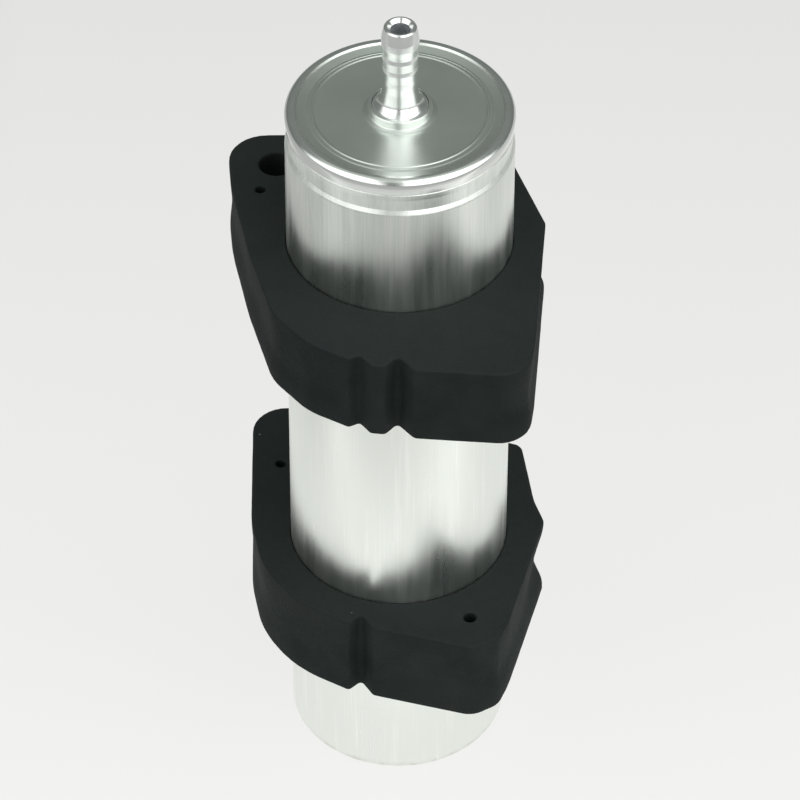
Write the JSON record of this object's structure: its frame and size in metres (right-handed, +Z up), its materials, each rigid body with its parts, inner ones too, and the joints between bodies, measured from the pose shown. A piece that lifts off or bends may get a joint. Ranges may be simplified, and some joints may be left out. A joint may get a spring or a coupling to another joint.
{
  "type": "inline fuel filter",
  "caption": "Inline canister filter: seamed aluminium can, barbed top nipple, recessed push-in inlet, pleated paper element and sliding foam-rubber vibration mounts.",
  "frame": {"origin": "on the canister's axis, at the mouth of the inlet socket, which is level with the face that the can stands on", "axes": "+Z up the canister's axis to the outlet nipple; -Y is the side with the notched faces of the foam mounts; +X is the side with their pointed corners"},
  "size_m": [0.0795, 0.0944, 0.2242],
  "materials": {
    "can_aluminium": "satin, fine vertical drawing marks",
    "lid_aluminium": "satin, pressed",
    "nipple_aluminium": "bright turned",
    "socket_aluminium": "turned",
    "foam_rubber": "matte moulded closed-cell foam with skin",
    "black_seal": "matte",
    "o_ring_rubber": "satin",
    "zinc_steel": "zinc plated",
    "spring_steel": "drawn wire",
    "tinned_steel": "tinplate",
    "potting_resin": "cured potting compound",
    "filter_paper": "resin-treated pleated paper",
    "glue_band": "hot-melt band",
    "grey_nylon": "moulded",
    "white_nylon": "moulded"
  },
  "bodies": {
    "canister": {"housing_can": "can_aluminium", "end_lid": "lid_aluminium", "rim_gasket": "black_seal", "outlet_nipple": "nipple_aluminium", "nipple_seal": "black_seal", "nipple_washer": "zinc_steel", "outlet_grommet": "black_seal", "element_top_cap": "tinned_steel", "top_potting": "potting_resin", "pleated_paper": "filter_paper", "pleat_bands": "glue_band", "centre_tube": "grey_nylon", "bottom_potting": "potting_resin", "element_bottom_cap": "tinned_steel", "centring_star": "zinc_steel", "spring_seat": "zinc_steel", "support_spring": "spring_steel", "inlet_socket": "socket_aluminium", "socket_gasket": "black_seal", "inlet_o_ring": "o_ring_rubber", "inlet_retaining_ring": "white_nylon"},
    "upper_mount_body": {"upper_mount": "foam_rubber"},
    "lower_mount_body": {"lower_mount": "foam_rubber"}
  },
  "joints": [
    {"name": "upper_mount_slide", "type": "slide", "parent": "canister", "child": "upper_mount_body", "axis": [0, 0, 1], "range_m": [-0.036, 0.029]},
    {"name": "lower_mount_slide", "type": "slide", "parent": "canister", "child": "lower_mount_body", "axis": [0, 0, 1], "range_m": [-0.034, 0.036]}
  ]
}
